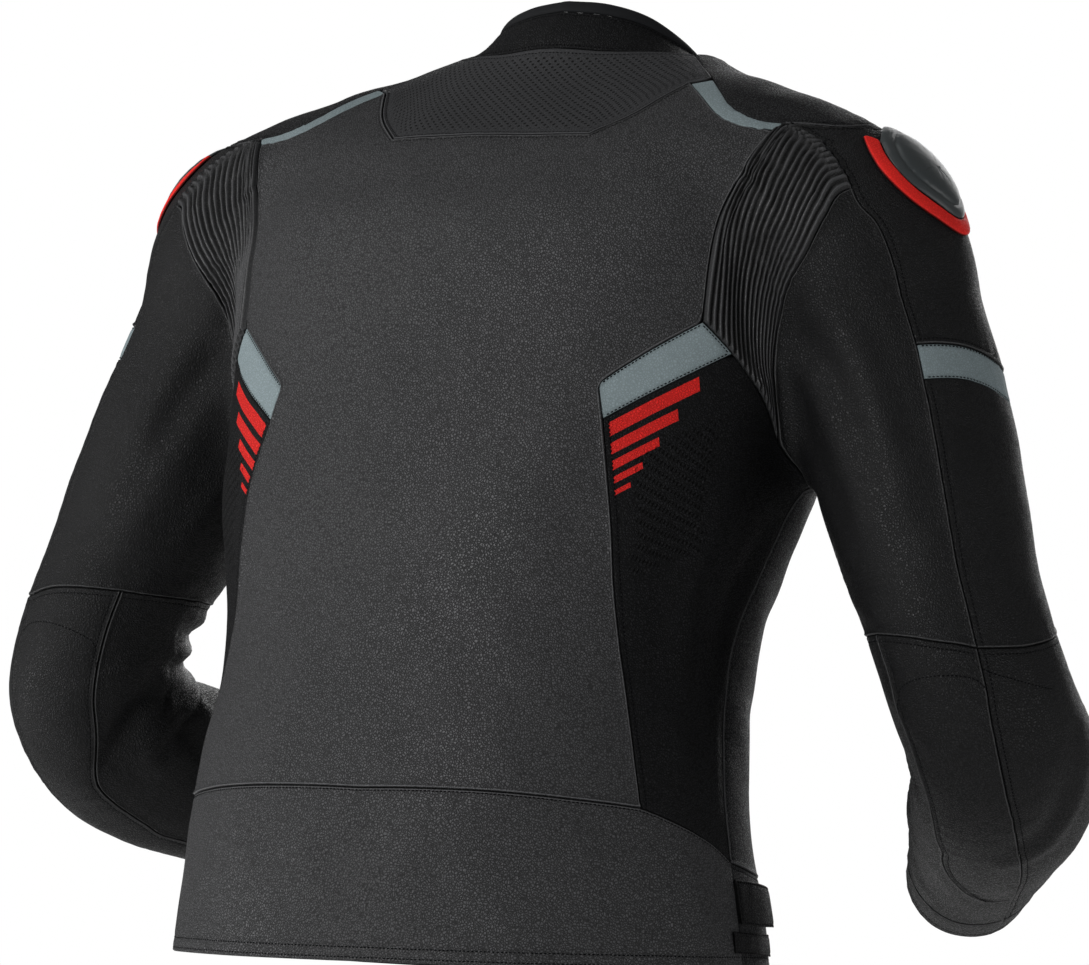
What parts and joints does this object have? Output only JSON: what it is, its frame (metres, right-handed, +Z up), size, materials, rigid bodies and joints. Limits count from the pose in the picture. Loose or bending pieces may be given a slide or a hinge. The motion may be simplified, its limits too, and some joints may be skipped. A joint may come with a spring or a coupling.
{
  "type": "leather motorcycle jacket",
  "caption": "Black leather motorcycle jacket, hollow as if worn, with bent sleeves, ribbed stretch panels, shoulder cups, grey bands, elbow panels and a front zip.",
  "frame": {"origin": "middle of the neck seam, where the wearer's neck and shoulders hold the jacket", "axes": "+Z up; the fronts and the zip face -Y and the back faces +Y; +X is the wearer's left"},
  "size_m": [0.8038, 0.4832, 0.6595],
  "materials": {
    "black_leather": "satin pebbled grain",
    "grey_leather": "satin fine grain",
    "red_leather": "satin smooth",
    "collar_soft_trim": "matte soft knit-backed trim",
    "cup_plastic": "satin moulded",
    "zip_tape": "woven",
    "zip_metal": "dark satin",
    "thread": "twisted sewing thread",
    "lining": "matte mesh lining"
  },
  "bodies": {
    "jacket": {"back_panel": "black_leather", "back_yoke": "black_leather", "collar": "black_leather", "collar_trim": "collar_soft_trim", "cuff_right": "black_leather", "cup_border_right": "red_leather", "elbow_panel_right": "black_leather", "forearm_outer_right": "black_leather", "forearm_under_right": "black_leather", "front_panel_right": "black_leather", "hip_strap_right": "black_leather", "hip_tab_right": "black_leather", "shoulder_cup_right": "cup_plastic", "shoulder_strip_right": "grey_leather", "side_flash_right": "grey_leather", "side_panel_right": "black_leather", "sleeve_band_right": "grey_leather", "sleeve_head_right": "black_leather", "sleeve_outer_right": "black_leather", "sleeve_under_right": "black_leather", "stretch_panel_right": "black_leather", "waistband_front_right": "black_leather", "zip_tape_right": "zip_tape", "cuff_left": "black_leather", "cup_border_left": "red_leather", "elbow_panel_left": "black_leather", "forearm_outer_left": "black_leather", "forearm_under_left": "black_leather", "front_panel_left": "black_leather", "hip_strap_left": "black_leather", "hip_tab_left": "black_leather", "shoulder_cup_left": "cup_plastic", "shoulder_strip_left": "grey_leather", "side_flash_left": "grey_leather", "side_panel_left": "black_leather", "sleeve_band_left": "grey_leather", "sleeve_head_left": "black_leather", "sleeve_outer_left": "black_leather", "sleeve_under_left": "black_leather", "stretch_panel_left": "black_leather", "waistband_front_left": "black_leather", "zip_tape_left": "zip_tape", "waistband_back": "black_leather", "zip_slider": "zip_metal"},
    "zip_pull": {"pull_tab": "zip_metal"}
  },
  "joints": [
    {"name": "pull_tab_hinge", "type": "hinge", "parent": "jacket", "child": "zip_pull", "pos_m": [0, -0.0612, -0.0616], "axis": [-1, 0, 0], "range_deg": [0, 150]}
  ]
}
